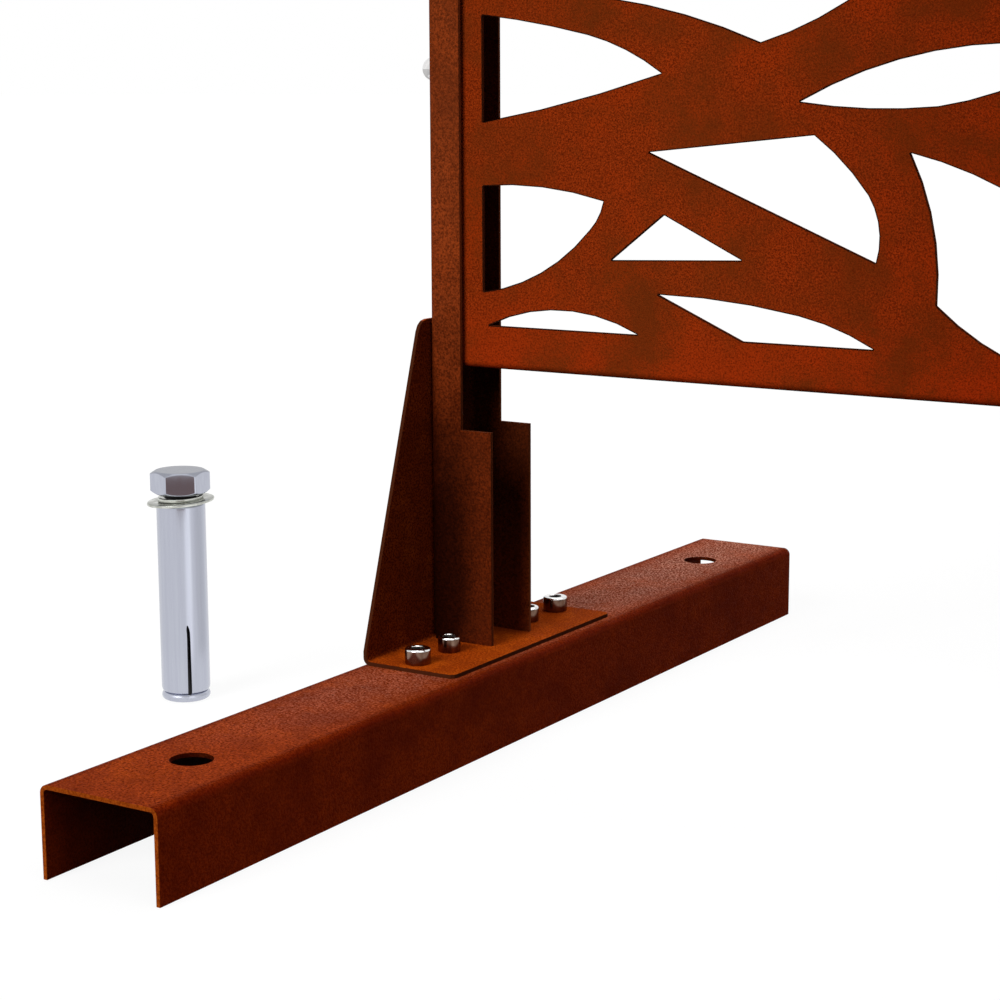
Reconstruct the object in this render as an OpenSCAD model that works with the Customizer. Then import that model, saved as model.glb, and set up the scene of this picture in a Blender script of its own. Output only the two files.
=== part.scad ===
// Free-standing laser cut metal screen: one tray panel between two channel posts, each bolted through a
// bent bracket to a long channel foot, with one ground anchor standing beside the left foot.
// X runs along the screen, Y from front to back and Z up. The origin is on the floor, midway between the
// feet's ends and midway between the outermost pieces.

/* [Feet] */
// Length of a foot, front to back
foot_l = 600; // [400:10:800]
// Width of a foot
foot_w = 64; // [60:1:90]
// Height of a foot
foot_h = 42; // [32:1:60]
// Sheet thickness of a foot
foot_t = 2; // [1.5:0.5:3]
// Distance of an anchor hole's centre from the foot's end
foot_hole_inset = 60; // [30:5:100]
// Radial room that an anchor hole leaves round the anchor's bolt
foot_hole_room = 1.75; // [0.5:0.25:2.5]
// How far the foot's outer side stands out past the bracket
foot_ledge = 2.5; // [0.5:0.5:4]

/* [Sheet bends] */
// Inside radius of every bend
bend_r = 2; // [1:0.5:3]

/* [Brackets] */
// Length of the base plate, front to back
plate_l = 156; // [140:1:180]
// Width of the base plate, from the gusset's outer face
plate_w = 54; // [48:1:56]
// Sheet thickness of a bracket
bracket_t = 2; // [1.5:0.5:3]
// Radius of the base plate's free corners
plate_corner_r = 4; // [1:0.5:6]
// Height of the gusset over the foot
gusset_h = 169; // [130:1:220]
// Length of the gusset's top edge
gusset_top_l = 54; // [44:1:80]
// Height up to which the gusset keeps the base plate's length
gusset_shoulder_h = 7; // [6:1:30]
// Radius of the gusset's top corners
gusset_corner_r = 8; // [3:1:15]
// How far the posts stand behind the middle of the feet
post_set_back = 7; // [-20:1:20]

/* [Posts] */
// Depth of a post, front to back
post_d = 39; // [36:1:50]
// Sheet thickness of a post
post_t = 2; // [1.5:0.5:3]
// Width of the flanges beside the panel
post_flange_w = 19; // [14:1:26]
// Width of the flanges below the panel
post_foot_flange_w = 37; // [28:1:46]
// Height of the panel's lower edge over the base plate
panel_lift = 143; // [125:1:300]
// Distance of the flanges' step below the panel
step_gap = 32; // [10:1:60]
// How far the posts reach above the panel
post_over = 4; // [0:1:30]

/* [Panel] */
// Width of the panel
panel_w = 800; // [600:10:1200]
// Height of the panel
panel_h = 1596; // [1000:4:2000]
// Room between the panel's folded edges and the post's flanges, in front and behind
panel_gap = 2.5; // [1:0.5:5]
// Sheet thickness of the panel
panel_t = 1.5; // [1:0.5:2]
// Room between the panel's folded edge and the post on each side
side_fit = 0.2; // [0.1:0.1:1]

/* [Pattern] */
// Plain border at the panel's sides
side_margin = 28; // [22:1:60]
// Plain border at the panel's ends
end_margin = 22; // [16:1:60]
// Mirrored pairs of pattern rows from bottom to top
row_pairs = 4; // [2:1:6]

/* [Bolts] */
// Thread diameter of the large screws, bolts and cap nuts
large_d = 8; // [8:1:10]
// Thread diameter of the base screws with small heads
small_d = 8; // [5:1:8]
// Diameter of the small heads
small_head_d = 11.6; // [10.5:0.1:12.8]
// Radial room that a hole in a sheet leaves round a thread
hole_room = 0.5; // [0.2:0.1:0.8]
// Distance of the large base screws from the base plate's ends
large_screw_edge = 11; // [8:0.5:14]
// Distance of the small base screws from the post's flanges
small_screw_gap = 19; // [12:0.5:22]
// Distance of the base screws from the gusset's outer face
base_screw_line = 25.5; // [20:0.5:32]
// Height of the lower bracket bolt over the base plate
bracket_bolt_z = 50; // [20:1:60]
// Distance between the two bracket bolts
bracket_bolt_pitch = 66; // [30:1:80]
// Distance of the end panel bolts from the panel's ends
panel_bolt_inset = 149; // [60:1:200]
// Panel bolts on each side
panel_bolts_n = 4; // [2:1:6]

/* [Anchor] */
// Thread diameter of the anchor's bolt
anchor_bolt_d = 16; // [12:1:16]
// Width of the hexagon head across its flats
anchor_head_af = 28; // [24:1:32]
// Height of the hexagon head
anchor_head_h = 12.5; // [8:0.5:14]
// Outer diameter of the flat washer
anchor_washer_d = 36; // [30:1:44]
// Thickness of the flat washer
anchor_washer_t = 2; // [1:0.5:3]
// Outer diameter of the spring washer
spring_washer_d = 24.5; // [22:0.5:27]
// Thickness of the spring washer
spring_washer_t = 3.3; // [2:0.1:4]
// Outer diameter of the sleeve and of the cone's foot
anchor_sleeve_d = 26.2; // [24:0.1:28]
// Length of the sleeve
anchor_sleeve_l = 103.5; // [70:0.5:140]
// Length of the slits in the sleeve
anchor_slit_l = 37.5; // [20:0.5:60]
// Width of the slits in the sleeve
anchor_slit_w = 2.5; // [1:0.5:4]
// Height of the cone's foot below the sleeve
anchor_foot_h = 4.5; // [3:0.5:8]
// Height of the cone inside the sleeve
anchor_cone_h = 14; // [8:1:20]
// Distance of the anchor's axis from the left foot
anchor_dist = 134; // [60:1:200]
// How far the anchor stands in front of the middle of the foot
anchor_front = 47; // [-200:1:200]

/* [Hidden] */
$fn = 64;

corten = [0.47, 0.20, 0.09];
corten_dark = [0.38, 0.15, 0.06];
chrome = [0.82, 0.82, 0.84];
zinc = [0.66, 0.68, 0.75];

cut = 1;                // how far a cutting shape runs past what it cuts
arc_sag = 0.2;          // how far a drawn arc's chords may leave the true arc
thread_fit = 0.05;      // radial room between a bolt and its nut
bolt_end = 1;           // how far a base screw's end stands out of its nut
relief_room = 0.5;      // room between a bracket's inner bend and the web's lower end
head_chamfer = 0.6;     // chamfer round a socket screw's head
cap_wall = 3;           // wall at the top of a cap nut's dome
flat_share = 0.96;      // flat end of a hexagon as a share of its width across flats
corner_slope = 30;      // slope at which a hexagon's corners are turned off

plate_z = foot_h + bracket_t;
panel_z = plate_z + panel_lift;
post_h = panel_lift + panel_h + post_over;
step_h = panel_lift - step_gap;
panel_d = post_d - 2 * post_t - 2 * panel_gap;
large_pitch = plate_l - 2 * large_screw_edge;
small_pitch = post_d + 2 * small_screw_gap;

// Places across one side, as distances from the middle of the screen
web_x = panel_w / 2 + side_fit + post_t;
gusset_x = web_x + bracket_t;
foot_x = gusset_x + foot_ledge;
panel_front = post_set_back - panel_d / 2;

// The screen stands this far to the right, so that the origin lies midway between the outermost pieces
left_reach = foot_x + anchor_dist + anchor_washer_d / 2;
right_reach = max(foot_x, gusset_x + cap_nut_h(large_d));
screen_x = (left_reach - right_reach) / 2;
anchor_x = screen_x - foot_x - anchor_dist;

foot_hole_d = anchor_bolt_d + 2 * foot_hole_room;

// Anchor, from the floor up: cone, sleeve, flat washer, spring washer and bolt
anchor_sleeve_top = anchor_foot_h + anchor_sleeve_l;
anchor_washer_top = anchor_sleeve_top + anchor_washer_t;
anchor_head_z = anchor_washer_top + spring_washer_t;
anchor_end_z = 2;       // how far the bolt's end stays above the floor
anchor_room = 0.5;      // radial room round the bolt in sleeve and washers
cone_wall = 1;          // cone's wall at its top, round the bolt
sleeve_edge = 1.9;      // sleeve's wall at its lower end
cone_fit = 0.1;         // radial room between cone and sleeve
sleeve_chamfer = 1.2;   // chamfer at the sleeve's ends, twice as high at the lower one
slits_n = 3;
slit_angle = -40.5;     // turn of the slits about the anchor's axis
head_angle = -19.5;     // turn of the head
spring_gap = 2;         // gap in the spring washer
spring_lean = 30;       // lean of that gap
anchor_bore_d = anchor_bolt_d + 2 * anchor_room;
cone_d = anchor_sleeve_d - 2 * (sleeve_edge + cone_fit);
cone_top_d = anchor_bolt_d + 2 * cone_wall;
cone_slope = (cone_d - cone_top_d) / (2 * anchor_cone_h);

// Sizes of socket screws, nuts, button head bolts and cap nuts follow the thread
function head_d(d) = 1.5 * d + 1;
function socket_af(d) = 0.75 * d;
function socket_depth(d) = 0.5 * d;
function nut_af(d) = 1.5 * d + 1;
function nut_h(d) = 0.8 * d;
function button_d(d) = 1.75 * d;
function button_h(d) = 0.55 * d;
function button_socket_af(d) = 0.625 * d;
function button_socket_depth(d) = 0.3 * d;
function cap_nut_h(d) = 1.8 * d;
function dome_d(d) = 1.56 * d;
function hole_d(d) = d + 2 * hole_room;
function hex_d(af) = af / cos(30);

// Points of an arc from p towards q, without q, standing out to the right by bulge (to the left if negative)
function side(p, q, bulge) =
    bulge == 0 ? [p] :
    let (c = norm(q - p), s = abs(bulge), u = (q - p) / c, w = [u.y, -u.x] * sign(bulge),
         r = (c * c / 4 + s * s) / (2 * s), a = asin(c / (2 * r)),
         n = ceil(a / acos(1 - arc_sag / r)))
    [for (i = [0 : n - 1]) let (t = a * (2 * i / n - 1))
        p + u * (c / 2 + r * sin(t)) + w * (r * cos(t) - r + s)];

// Outline of corners [x, y, bulge of the side that follows], anticlockwise
function outline(c) = [for (i = [0 : len(c) - 1]) let (a = c[i], b = c[(i + 1) % len(c)])
    each side([a.x, a.y], [b.x, b.y], a.z)];

// Points of a rounded corner of radius r at b, on the way from a to c, anticlockwise
function round_corner(a, b, c, r) =
    let (u = (a - b) / norm(a - b), v = (c - b) / norm(c - b), half = acos(u * v) / 2,
         p = b + u * r / tan(half), q = b + v * r / tan(half))
    [each side(p, q, r * (1 - sin(half))), q];

// The two sides of the screen: the right one is the left one's mirror image
module on_left() { translate([screen_x, 0, 0]) children(); }
module on_right() { translate([screen_x, 0, 0]) mirror([1, 0, 0]) children(); }
module on_both() {
    on_left() children();
    on_right() children();
}

// A width by height profile, centred on X, with both upper corners rounded
module round_topped(w, h, r) {
    translate([-w / 2, 0]) square([w, h - r]);
    translate([r - w / 2, 0]) square([w - 2 * r, h]);
    for (s = [-1, 1]) translate([s * (w / 2 - r), h - r]) circle(r);
}

// Profile of a channel bent from sheet, open at the bottom
module channel_profile(w, h, t) {
    difference() {
        round_topped(w, h, bend_r + t);
        translate([0, -cut]) round_topped(w - 2 * t, h - t + cut, bend_r);
    }
}

// Profile of a bent edge: along X to w and up along Y to h, its bend at the origin
module edge_profile(w, h, t) {
    r = bend_r + t;
    difference() {
        union() {
            translate([r, 0]) square([w - r, t]);
            translate([0, r]) square([t, h - r]);
            intersection() {
                translate([r, r]) circle(r);
                square(r);
            }
        }
        translate([r, r]) circle(bend_r);
    }
}

// Positions of the base screws along a foot
module at_base_screws(pitch) {
    for (s = [-1, 1])
        translate([-gusset_x + base_screw_line, post_set_back + s * pitch / 2, plate_z]) children();
}

// Positions on the web's inner face, with Z pointing out through the web
module at_web(z) { translate([-web_x + post_t, post_set_back, z]) rotate([0, -90, 0]) children(); }
module at_bracket_bolts() {
    for (i = [0, 1]) at_web(plate_z + bracket_bolt_z + i * bracket_bolt_pitch) children();
}
module at_panel_bolts() {
    run = panel_h - 2 * panel_bolt_inset;
    for (i = [0 : panel_bolts_n - 1])
        at_web(panel_z + panel_bolt_inset + i * run / (panel_bolts_n - 1)) children();
}

// Foot: an upside-down channel with two anchor holes and four screw holes
module foot() {
    color(corten) difference() {
        translate([foot_w / 2 - foot_x, foot_l / 2, 0]) rotate([90, 0, 0])
            linear_extrude(foot_l) channel_profile(foot_w, foot_h, foot_t);
        for (s = [-1, 1])
            translate([foot_w / 2 - foot_x, s * (foot_l / 2 - foot_hole_inset), foot_h - foot_t - cut])
                cylinder(d = foot_hole_d, h = foot_t + 2 * cut);
        base_screw_holes(foot_t + bracket_t);
    }
}

module base_screw_holes(depth) {
    at_base_screws(large_pitch) translate([0, 0, -depth - cut])
        cylinder(d = hole_d(large_d), h = depth + 2 * cut);
    at_base_screws(small_pitch) translate([0, 0, -depth - cut])
        cylinder(d = hole_d(small_d), h = depth + 2 * cut);
}

// Bracket: base plate and tapered gusset bent from one sheet
module bracket() {
    half = plate_l / 2;
    top = gusset_top_l / 2;
    a = [half, gusset_shoulder_h];
    b = [top, gusset_h];
    gusset = [[-half, 0], [half, 0], a, each round_corner(a, b, [-top, gusset_h], gusset_corner_r),
        each round_corner(b, [-top, gusset_h], [-half, gusset_shoulder_h], gusset_corner_r),
        [-half, gusset_shoulder_h]];
    plan = [[0, half], [0, -half],
        each round_corner([0, -half], [plate_w, -half], [plate_w, half], plate_corner_r),
        each round_corner([plate_w, -half], [plate_w, half], [0, half], plate_corner_r)];
    color(corten) difference() {
        translate([-gusset_x, post_set_back, foot_h]) intersection() {
            translate([0, half, 0]) rotate([90, 0, 0])
                linear_extrude(plate_l) edge_profile(plate_w, gusset_h, bracket_t);
            linear_extrude(gusset_h) polygon(plan);
            rotate([90, 0, 90]) linear_extrude(plate_w) polygon(gusset);
        }
        base_screw_holes(bracket_t);
        at_bracket_bolts() cylinder(d = hole_d(large_d), h = post_t + bracket_t + cut);
    }
}

// Post: a channel open towards the panel, with wider flanges below it and its web's lower end cut back
// round the bracket's inner bend
module post() {
    color(corten) difference() {
        translate([-web_x, post_set_back, plate_z]) difference() {
            linear_extrude(post_h) translate([post_foot_flange_w, 0]) rotate(90)
                channel_profile(post_d, post_foot_flange_w, post_t);
            translate([post_flange_w, -post_d, step_h])
                cube([post_foot_flange_w, 2 * post_d, post_h]);
            translate([-cut, -post_d, -cut])
                cube([bend_r + relief_room + cut, 2 * post_d, bend_r + relief_room + cut]);
        }
        web_holes(post_t);
    }
}

module web_holes(depth) {
    at_bracket_bolts() translate([0, 0, -cut]) cylinder(d = hole_d(large_d), h = depth + 2 * cut);
    at_panel_bolts() translate([0, 0, -cut]) cylinder(d = hole_d(large_d), h = depth + 2 * cut);
}

// The leaf and branch pattern is drawn as a motif for the panel's lower left and stretched to fit.
// Each opening is a list of corners [x, y, bulge of the side that follows].
row_openings = [
    [[0, 101, 1.7], [100, 124.3, 2], [60, 142.4, 0.9], [0, 152.8, 0]],
    [[151, 138, 6], [230, 184, 8], [50, 162, -4]],
    [[171.2, 111.3, 1.9], [238, 109.5, 3.8], [303, 134, 10.8]],
    [[93.5, 87.4, 0], [210.5, 39.3, 3.4], [206.1, 69.7, 1.5], [179, 96.2, 0]],
    [[0, 16.8, 6.2], [61.3, 49.5, 1.2], [69, 63.6, 3], [0, 69.5, 0]],
    [[73.5, 35.5, 0], [143.5, 38, 0], [102, 58, 0]],
    [[272, 96, -6], [338, 52, 3], [346, 104, 5]],
    [[228, 163, -2], [336, 152, 4], [320, 180, 4]]];

// Openings that stand on the border at the panel's ends and double up where two rows meet
floor_openings = [
    [[88.5, 0, 9.6], [3, 0, 0]],
    [[210.8, 0, 1.6], [173, 13.4, 1.7], [99, 20, 0], [144.5, 0, 0]],
    [[302, 0, -2], [320, 38, 7.5], [225.5, 89, -4.8], [240, 21.5, 1.5], [273, 0, 0]]];

// Openings that lie across the other joint between rows
seam_openings = [
    [[0, 170, 5], [68, 194, 5], [0, 218, 0]],
    [[238, 194, 5], [300, 194, 5]]];

// Openings on the panel's middle line
middle_opening = [[372, 90, 20], [372, 184, 20]];
middle_floor_opening = [[418, 0, 3], [372, 72, 3], [326, 0, 0]];

// Width and height that the motif is drawn at, for one half of the panel and one row, and takes here
motif_w = middle_opening[0].x;
motif_h = seam_openings[1][0].y;
tile_w = panel_w / 2 - side_margin;
tile_h = (panel_h - 2 * end_margin) / (2 * row_pairs);

function stretched(p) = [p.x * tile_w / motif_w, p.y * tile_h / motif_h];
function stretch(c) = [for (i = [0 : len(c) - 1])
    let (p = c[i], q = c[(i + 1) % len(c)], a = stretched(p), b = stretched(q))
    [a.x, a.y, p.z * norm(b - a) / norm([q.x - p.x, q.y - p.y])]];

// A floor opening and its mirror image below the floor, as one outline
function doubled(c) = let (top = outline(c))
    [each top, for (i = [len(top) - 2 : -1 : 1]) [top[i].x, -top[i].y]];

module opening(c) { polygon(outline(stretch(c))); }

module in_row(i) {
    translate([0, (i + i % 2) * tile_h]) mirror([0, i % 2]) children();
}

// Openings of one half of the panel, from the border's lower left corner
module half_pattern() {
    rows = 2 * row_pairs;
    for (i = [0 : rows - 1]) in_row(i) for (c = row_openings) opening(c);
    for (i = [0 : 2 : rows - 2], c = seam_openings) in_row(i) opening(c);
    for (i = [0, rows - 1], c = floor_openings) in_row(i) opening(c);
    for (i = [2 : 2 : rows - 2], c = floor_openings)
        translate([0, i * tile_h]) polygon(doubled(stretch(c)));
}

module middle_pattern() {
    rows = 2 * row_pairs;
    for (i = [0 : rows - 1]) in_row(i) opening(middle_opening);
    for (i = [0, rows - 1]) in_row(i) opening(middle_floor_opening);
    for (i = [2 : 2 : rows - 2]) translate([0, i * tile_h]) polygon(doubled(stretch(middle_floor_opening)));
}

// Panel: a sheet with its four edges folded back, cut through with the pattern
module panel() {
    r = bend_r + panel_t;
    color(corten_dark) translate([screen_x - panel_w / 2, panel_front, panel_z]) difference() {
        union() {
            translate([0, panel_t, 0]) rotate([90, 0, 0]) linear_extrude(panel_t) difference() {
                translate([r, r]) square([panel_w - 2 * r, panel_h - 2 * r]);
                translate([side_margin, end_margin]) half_pattern();
                translate([panel_w - side_margin, end_margin]) mirror([1, 0]) half_pattern();
                translate([side_margin, end_margin]) middle_pattern();
            }
            for (s = [0, 1]) {
                translate([s * panel_w, 0, r]) mirror([s, 0, 0])
                    linear_extrude(panel_h - 2 * r) edge_profile(2 * r, panel_d, panel_t);
                translate([r, 0, s * panel_h]) mirror([0, 0, s]) rotate([90, 0, 90])
                    linear_extrude(panel_w - 2 * r) mirror([1, 0]) rotate(90)
                        edge_profile(2 * r, panel_d, panel_t);
            }
        }
        translate([panel_w / 2 - screen_x, -panel_front, -panel_z]) on_both() at_panel_bolts()
            translate([0, 0, -side_fit - panel_t - cut])
                cylinder(d = hole_d(large_d), h = panel_t + 2 * cut);
    }
}

// Socket head screw standing on the plate's top, its shank pointing down
module socket_screw(d, head, grip) {
    color(chrome) difference() {
        union() {
            cylinder(d = head, h = d - head_chamfer);
            translate([0, 0, d - head_chamfer])
                cylinder(d1 = head, d2 = head - 2 * head_chamfer, h = head_chamfer);
            translate([0, 0, -grip]) cylinder(d = d, h = grip + cut);
        }
        translate([0, 0, d - socket_depth(d)]) cylinder(d = hex_d(socket_af(d)), h = d, $fn = 6);
    }
}

// Hexagon nut with chamfered corners, lying on Z = 0
module hex_nut(d) {
    color(chrome) difference() {
        chamfered_hex(nut_af(d), nut_h(d));
        translate([0, 0, -cut]) cylinder(r = d / 2 + thread_fit, h = nut_h(d) + 2 * cut);
    }
}

// Hexagon whose corners are turned off at both ends
module chamfered_hex(af, h) {
    corner_r = hex_d(af) / 2;
    flat_r = flat_share * af / 2;
    drop = (corner_r - flat_r) * tan(corner_slope);
    intersection() {
        cylinder(r = corner_r, h = h, $fn = 6);
        rotate_extrude() polygon([[0, 0], [flat_r, 0], [corner_r, drop], [corner_r, h - drop],
            [flat_r, h], [0, h]]);
    }
}

// Button head bolt, its head under Z = 0 and its shank pointing up
module button_bolt(d, reach) {
    r = button_d(d) / 2;
    h = button_h(d);
    ball_r = (r * r + h * h) / (2 * h);
    color(chrome) difference() {
        union() {
            intersection() {
                translate([0, 0, ball_r - h]) sphere(ball_r);
                translate([0, 0, -h]) cylinder(r = r, h = h);
            }
            translate([0, 0, -cut]) cylinder(d = d, h = reach + cut);
        }
        translate([0, 0, -h - cut])
            cylinder(d = hex_d(button_socket_af(d)), h = button_socket_depth(d) + cut, $fn = 6);
    }
}

// Cap nut: hexagon with a dome over the bolt's end
module cap_nut(d) {
    dome_r = dome_d(d) / 2;
    h = cap_nut_h(d);
    color(chrome) difference() {
        union() {
            chamfered_hex(nut_af(d), nut_h(d));
            cylinder(r = dome_r, h = h - dome_r);
            translate([0, 0, h - dome_r]) sphere(dome_r);
        }
        translate([0, 0, -cut]) cylinder(r = d / 2 + thread_fit, h = h - cap_wall + cut);
    }
}

module large_base_screws() {
    on_both() at_base_screws(large_pitch)
        socket_screw(large_d, head_d(large_d), bracket_t + foot_t + nut_h(large_d) + bolt_end);
}
module small_base_screws() {
    on_both() at_base_screws(small_pitch)
        socket_screw(small_d, small_head_d, bracket_t + foot_t + nut_h(small_d) + bolt_end);
}
module base_nuts(d, pitch) {
    on_both() at_base_screws(pitch) translate([0, 0, -bracket_t - foot_t - nut_h(d)]) hex_nut(d);
}
module large_base_nuts() { base_nuts(large_d, large_pitch); }
module small_base_nuts() { base_nuts(small_d, small_pitch); }

// The bracket bolts clamp post and gusset, the panel bolts the panel's folded edge and the post
module bracket_bolts() {
    on_both() at_bracket_bolts() button_bolt(large_d, post_t + bracket_t + nut_h(large_d));
}
module bracket_cap_nuts() {
    on_both() at_bracket_bolts() translate([0, 0, post_t + bracket_t]) cap_nut(large_d);
}
module panel_bolts() {
    on_both() at_panel_bolts() translate([0, 0, -side_fit - panel_t])
        button_bolt(large_d, panel_t + side_fit + post_t + nut_h(large_d));
}
module panel_cap_nuts() {
    on_both() at_panel_bolts() translate([0, 0, post_t]) cap_nut(large_d);
}

module at_anchor(z) { translate([anchor_x, -anchor_front, z]) children(); }

module anchor_bolt() {
    color(zinc) at_anchor(anchor_end_z) {
        cylinder(d = anchor_bolt_d, h = anchor_head_z - anchor_end_z + cut);
        translate([0, 0, anchor_head_z - anchor_end_z]) rotate(head_angle)
            chamfered_hex(anchor_head_af, anchor_head_h);
    }
}

module anchor_spring_washer() {
    color(zinc) at_anchor(anchor_washer_top) difference() {
        cylinder(d = spring_washer_d, h = spring_washer_t);
        translate([0, 0, -cut]) cylinder(d = anchor_bore_d, h = spring_washer_t + 2 * cut);
        rotate(slit_angle + 180) translate([0, 0, spring_washer_t / 2]) rotate([spring_lean, 0, 0])
            translate([0, -spring_gap / 2, -spring_washer_t])
                cube([spring_washer_d, spring_gap, 2 * spring_washer_t]);
    }
}

module anchor_flat_washer() {
    color(zinc) at_anchor(anchor_sleeve_top) difference() {
        cylinder(d = anchor_washer_d, h = anchor_washer_t);
        translate([0, 0, -cut]) cylinder(d = anchor_bore_d, h = anchor_washer_t + 2 * cut);
    }
}

// Sleeve whose bore follows the cone, up to where it meets the bolt's bore
module anchor_sleeve() {
    r = anchor_sleeve_d / 2;
    c = sleeve_chamfer;
    mouth = cone_d / 2 + cone_fit;
    color(zinc) at_anchor(anchor_foot_h) difference() {
        rotate_extrude() polygon([[anchor_bore_d / 2, (mouth - anchor_bore_d / 2) / cone_slope], [mouth, 0],
            [r - c, 0], [r, 2 * c], [r, anchor_sleeve_l - c], [r - c, anchor_sleeve_l],
            [anchor_bore_d / 2, anchor_sleeve_l]]);
        for (i = [0 : slits_n - 1]) rotate(slit_angle + i * 360 / slits_n)
            translate([0, -anchor_slit_w / 2, -cut]) cube([anchor_sleeve_d, anchor_slit_w, anchor_slit_l + cut]);
    }
}

module anchor_cone() {
    edge = anchor_foot_h / 2;
    color(zinc) at_anchor(0) difference() {
        rotate_extrude() {
            square([anchor_sleeve_d / 2 - edge, anchor_foot_h]);
            translate([anchor_sleeve_d / 2 - edge, edge]) circle(edge);
            polygon([[0, edge], [cone_d / 2 - cut, edge], [cone_d / 2, anchor_foot_h],
                [cone_top_d / 2, anchor_foot_h + anchor_cone_h], [0, anchor_foot_h + anchor_cone_h]]);
        }
        translate([0, 0, -cut])
            cylinder(r = anchor_bolt_d / 2 + thread_fit, h = anchor_foot_h + anchor_cone_h + 2 * cut);
    }
}

on_left() foot();  // left_foot
on_right() foot();  // right_foot
on_left() bracket();  // left_bracket
on_right() bracket();  // right_bracket
on_left() post();  // left_post
on_right() post();  // right_post
panel();
large_base_screws();
small_base_screws();
large_base_nuts();
small_base_nuts();
bracket_bolts();
bracket_cap_nuts();
panel_bolts();
panel_cap_nuts();
anchor_bolt();
anchor_spring_washer();
anchor_flat_washer();
anchor_sleeve();
anchor_cone();
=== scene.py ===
import math

import bmesh
import bpy
from mathutils import Euler, Matrix, Vector


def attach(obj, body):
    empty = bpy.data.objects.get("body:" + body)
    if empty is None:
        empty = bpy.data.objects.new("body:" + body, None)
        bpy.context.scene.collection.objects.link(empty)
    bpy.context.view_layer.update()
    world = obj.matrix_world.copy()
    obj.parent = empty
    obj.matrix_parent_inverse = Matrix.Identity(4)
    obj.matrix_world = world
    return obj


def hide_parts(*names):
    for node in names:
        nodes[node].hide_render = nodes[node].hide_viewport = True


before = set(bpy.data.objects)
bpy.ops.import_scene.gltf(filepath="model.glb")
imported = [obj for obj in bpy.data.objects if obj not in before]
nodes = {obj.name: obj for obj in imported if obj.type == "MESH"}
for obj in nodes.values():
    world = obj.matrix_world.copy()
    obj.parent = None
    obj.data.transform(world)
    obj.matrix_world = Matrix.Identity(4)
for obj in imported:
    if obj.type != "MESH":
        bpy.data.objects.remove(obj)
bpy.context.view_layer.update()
print("frame loaded:", len(nodes), "nodes")


def newNode(tree, kind, **settings):
    # Each setting is a property of the new node or else the value of one of its inputs
    node = tree.nodes.new(kind)
    for name, value in settings.items():
        if hasattr(node, name):
            setattr(node, name, value)
        else:
            node.inputs[name.replace("_", " ")].default_value = value
    return node


def link(tree, source, target):
    tree.links.new(source, target)


def feed(tree, value, socket):
    # A number or a colour is set on the socket, anything else is linked to it
    if isinstance(value, (int, float)):
        socket.default_value = value
    elif isinstance(value, tuple):
        socket.default_value = (*value, 1)
    else:
        link(tree, value, socket)


def math2(tree, operation, a, b):
    node = newNode(tree, "ShaderNodeMath", operation=operation)
    feed(tree, a, node.inputs[0])
    feed(tree, b, node.inputs[1])
    return node.outputs[0]


def absolute(tree, value):
    node = newNode(tree, "ShaderNodeMath", operation="ABSOLUTE")
    link(tree, value, node.inputs[0])
    return node.outputs[0]


def product(tree, first, *others):
    for other in others:
        first = math2(tree, "MULTIPLY", first, other)
    return first


def spread(tree, value, low, high, outLow=0.0, outHigh=1.0, smooth=False):
    # Maps low to outLow and high to outHigh, and holds the ends
    node = newNode(tree, "ShaderNodeMapRange")
    node.interpolation_type = "SMOOTHSTEP" if smooth else "LINEAR"
    link(tree, value, node.inputs["Value"])
    for label, amount in (("From Min", low), ("From Max", high), ("To Min", outLow), ("To Max", outHigh)):
        feed(tree, amount, node.inputs[label])
    return node.outputs["Result"]


def ramp(tree, value, limits, smooth=False):
    return spread(tree, value, *limits, smooth=smooth)


def mixColour(tree, share, first, second, blend="MIX"):
    node = newNode(tree, "ShaderNodeMix", data_type="RGBA", blend_type=blend)
    for index, value in ((0, share), (6, first), (7, second)):
        feed(tree, value, node.inputs[index])
    return node.outputs[2]


def emptyMaterial(name):
    material = bpy.data.materials.new(name)
    material.use_nodes = True
    material.node_tree.nodes.clear()
    return material, material.node_tree


def shaderMaterial(name):
    material = bpy.data.materials.new(name)
    material.use_nodes = True
    tree = material.node_tree
    return material, tree, tree.nodes["Principled BSDF"]


def dress(node, material):
    for place in node.material_slots:
        place.material = material
    if not node.material_slots:
        node.data.materials.append(material)


# Camera, in metres and degrees, from the photograph's edges
camera = {
    "place": (0.30841, -0.96264, 0.33080),
    "turn": 32.190,
    "tilt": 10.576,
    "roll": -0.207,
    "lens": 81.131,
    "sensor": 36,
    "clip": (0.01, 50),
}

# Light: how strong each lamp is, from where it shines and how soft its shadow is, in degrees
studio = {
    "skyForSurfaces": 0.055,
    "floorSize": 80,
    "floorDrop": 0.0004,
    "floorGlow": 0.90,
    "floorColour": (1.00, 1.00, 1.00),
    "floorBounce": (0.035, 0.035, 0.035),
    "lampAway": 4,
    "lamps": {
        "keyLamp": {"from": (-0.10, -0.85, 0.55), "soft": 30, "strength": 2.9},
        "topLamp": {"from": (0.20, 0.10, 1.00), "soft": 60, "strength": 1.9},
        "sideLamp": {"from": (0.90, -0.25, 0.45), "soft": 50, "strength": 0.35},
        "backLamp": {"from": (-0.06, 1.00, 0.12), "soft": 40, "strength": 1.6, "shine": False},
    },
}


def makeCamera(values):
    lensData = bpy.data.cameras.new("camera")
    lensData.sensor_width = values["sensor"]
    lensData.lens = values["lens"]
    lensData.clip_start, lensData.clip_end = values["clip"]
    thing = bpy.data.objects.new("camera", lensData)
    bpy.context.scene.collection.objects.link(thing)
    look = Euler((math.radians(90 - values["tilt"]), 0, math.radians(values["turn"]))).to_matrix()
    look = look @ Matrix.Rotation(math.radians(values["roll"]), 3, "Z")
    thing.matrix_world = Matrix.Translation(values["place"]) @ look.to_4x4()
    bpy.context.scene.camera = thing


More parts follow.
